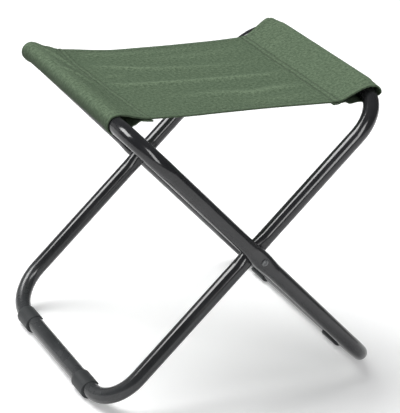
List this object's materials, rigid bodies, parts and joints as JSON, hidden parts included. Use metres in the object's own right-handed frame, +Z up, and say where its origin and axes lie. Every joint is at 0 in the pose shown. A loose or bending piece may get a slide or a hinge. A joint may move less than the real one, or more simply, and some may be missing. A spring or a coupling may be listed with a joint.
{
  "type": "folding camp stool",
  "caption": "folding X-frame camp stool with bent tube frames, clip-on feet and a canvas sling seat",
  "frame": {"origin": "on the floor, under the middle of the open stool", "axes": "+Z up; +Y along the pivot axis and the bars, from front to rear; +X from the outer frame's top bar to the inner frame's top bar"},
  "size_m": [0.3458, 0.332, 0.3373],
  "materials": {
    "frame_paint": "semi-gloss black powder coat over steel tube",
    "spigot_steel": "plain drawn steel",
    "rivet_steel": "black oxide steel",
    "spacer_nylon": "moulded black nylon",
    "foot_plastic": "moulded dark grey plastic",
    "canvas": "olive green woven polyester canvas",
    "thread": "olive green sewing thread"
  },
  "bodies": {
    "outer_frame": {"outer_frame_tube": "frame_paint", "outer_frame_spigot": "spigot_steel", "front_pivot_rivet": "rivet_steel", "rear_pivot_rivet": "rivet_steel", "front_rivet_washer": "rivet_steel", "rear_rivet_washer": "rivet_steel", "front_pivot_spacer": "spacer_nylon", "rear_pivot_spacer": "spacer_nylon", "outer_frame_front_foot": "foot_plastic", "outer_frame_rear_foot": "foot_plastic"},
    "inner_frame": {"inner_frame_tube": "frame_paint", "inner_frame_spigot": "spigot_steel", "inner_frame_front_foot": "foot_plastic", "inner_frame_rear_foot": "foot_plastic"},
    "outer_seat": {"outer_seat_sleeve": "canvas", "outer_seat_panel": "canvas", "outer_seat_hems": "canvas", "outer_seat_stitching": "thread"},
    "inner_seat": {"inner_seat_sleeve": "canvas", "inner_seat_panel": "canvas", "inner_seat_hems": "canvas", "inner_seat_stitching": "thread"}
  },
  "joints": [
    {"name": "fold", "type": "hinge", "parent": "outer_frame", "child": "inner_frame", "pos_m": [0, 0, 0.17478], "axis": [0, -1, 0], "range_deg": [0, 83]},
    {"name": "outer_seat_swing", "type": "hinge", "parent": "outer_frame", "child": "outer_seat", "pos_m": [-0.15121, 0, 0.32705], "axis": [0, 1, 0], "range_deg": [0, 42.5], "deforming": ["outer_seat_sleeve", "outer_seat_panel", "outer_seat_hems", "outer_seat_stitching"]},
    {"name": "inner_seat_swing", "type": "hinge", "parent": "inner_frame", "child": "inner_seat", "pos_m": [0.15121, 0, 0.32705], "axis": [0, -1, 0], "range_deg": [0, 42.5], "deforming": ["inner_seat_sleeve", "inner_seat_panel", "inner_seat_hems", "inner_seat_stitching"]}
  ],
  "couplings": [
    {"joint": "outer_seat_swing", "follows": "fold", "ratio": 0.5095},
    {"joint": "inner_seat_swing", "follows": "fold", "ratio": 0.5095}
  ]
}
